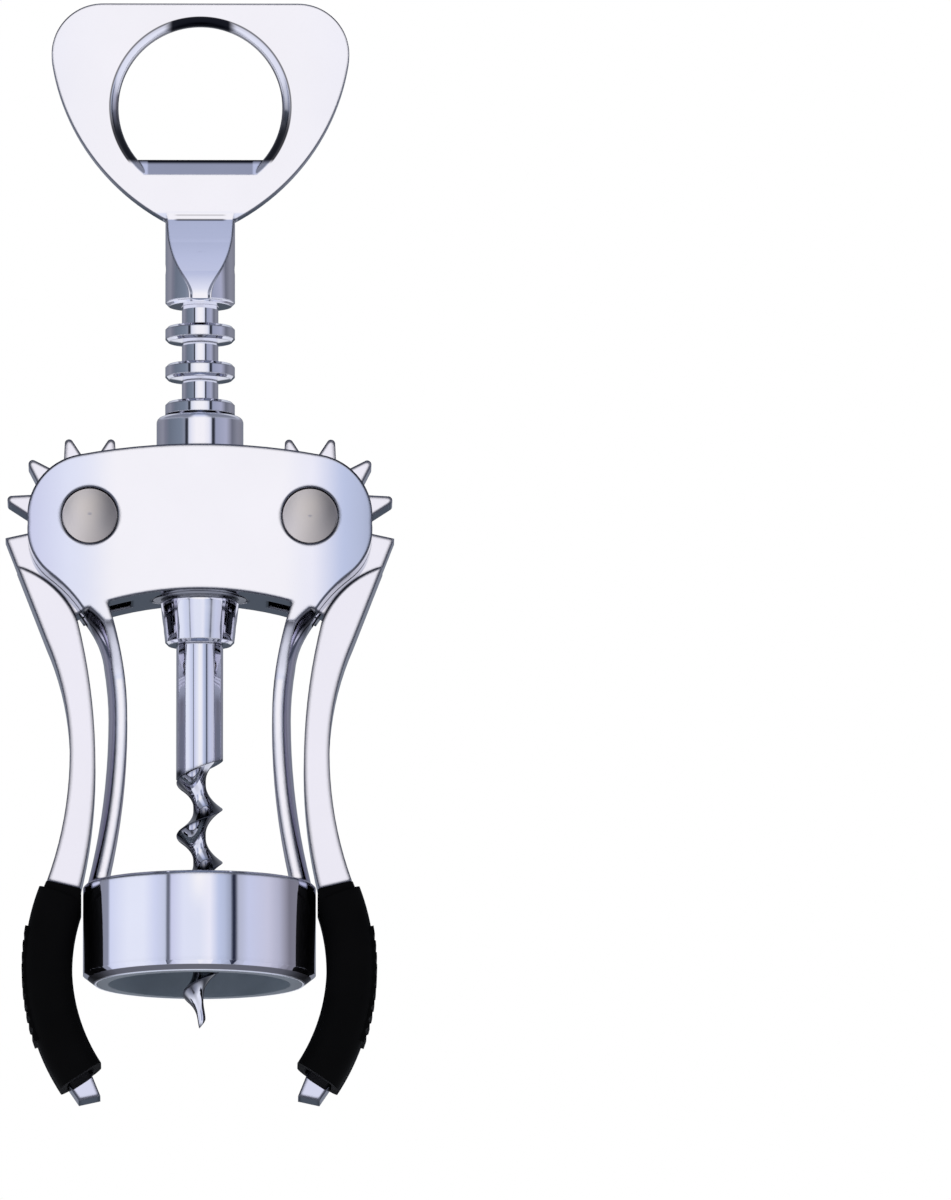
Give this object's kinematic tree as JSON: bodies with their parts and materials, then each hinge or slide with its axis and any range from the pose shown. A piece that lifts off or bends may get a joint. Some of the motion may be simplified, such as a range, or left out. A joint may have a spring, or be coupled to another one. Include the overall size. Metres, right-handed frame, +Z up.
{
  "type": "wing corkscrew",
  "caption": "Polished wing corkscrew with black rubber grips, a toothed lever on each side of a ringed rack, a bell with a plastic liner, and a cap lifter in its flat handle.",
  "frame": {"origin": "centre of the bell's mouth, in the plane of its lower edge", "axes": "+Z up along the worm toward the handle, +X toward the right wing, -Y toward the viewer of the picture"},
  "size_m": [0.068, 0.0406, 0.1945],
  "materials": {
    "polished_casting": "polished chrome on a zinc casting",
    "plated_steel": "bright plated steel",
    "satin_pins": "satin nickel",
    "liner_plastic": "dark grey moulded plastic",
    "washer_plastic": "plain moulded plastic",
    "black_rubber": "matt black with fine ribs"
  },
  "bodies": {
    "frame": {"frame": "polished_casting", "bell_liner": "liner_plastic", "pivot_pin_left": "satin_pins", "pivot_pin_right": "satin_pins", "pivot_cap_left": "satin_pins", "pivot_cap_right": "satin_pins", "washers_left": "washer_plastic", "washers_right": "washer_plastic"},
    "bush": {"guide_bush": "plated_steel"},
    "spindle": {"rack": "plated_steel", "worm": "plated_steel", "worm_pin": "satin_pins", "opener_handle": "polished_casting", "handle_pin": "satin_pins"},
    "left_lever": {"wing_left": "polished_casting", "grip_left": "black_rubber"},
    "right_lever": {"wing_right": "polished_casting", "grip_right": "black_rubber"}
  },
  "joints": [
    {"name": "left_wing_pivot", "type": "hinge", "parent": "frame", "child": "left_lever", "pos_m": [-0.01925, 0, 0.0814], "axis": [0, 1, 0], "range_deg": [0, 150]},
    {"name": "right_wing_pivot", "type": "hinge", "parent": "frame", "child": "right_lever", "pos_m": [0.01925, 0, 0.0814], "axis": [0, -1, 0], "range_deg": [0, 150]},
    {"name": "spindle_spin", "type": "hinge", "parent": "frame", "child": "bush", "pos_m": [0, 0, 0.07], "axis": [0, 0, 1], "continuous": true},
    {"name": "rack_slide", "type": "slide", "parent": "bush", "child": "spindle", "axis": [0, 0, -1], "range_m": [0, 0.0336]}
  ],
  "couplings": [
    {"joint": "right_wing_pivot", "follows": "left_wing_pivot", "ratio": 1},
    {"joint": "rack_slide", "follows": "left_wing_pivot", "m_per_rad": 0.012796}
  ]
}
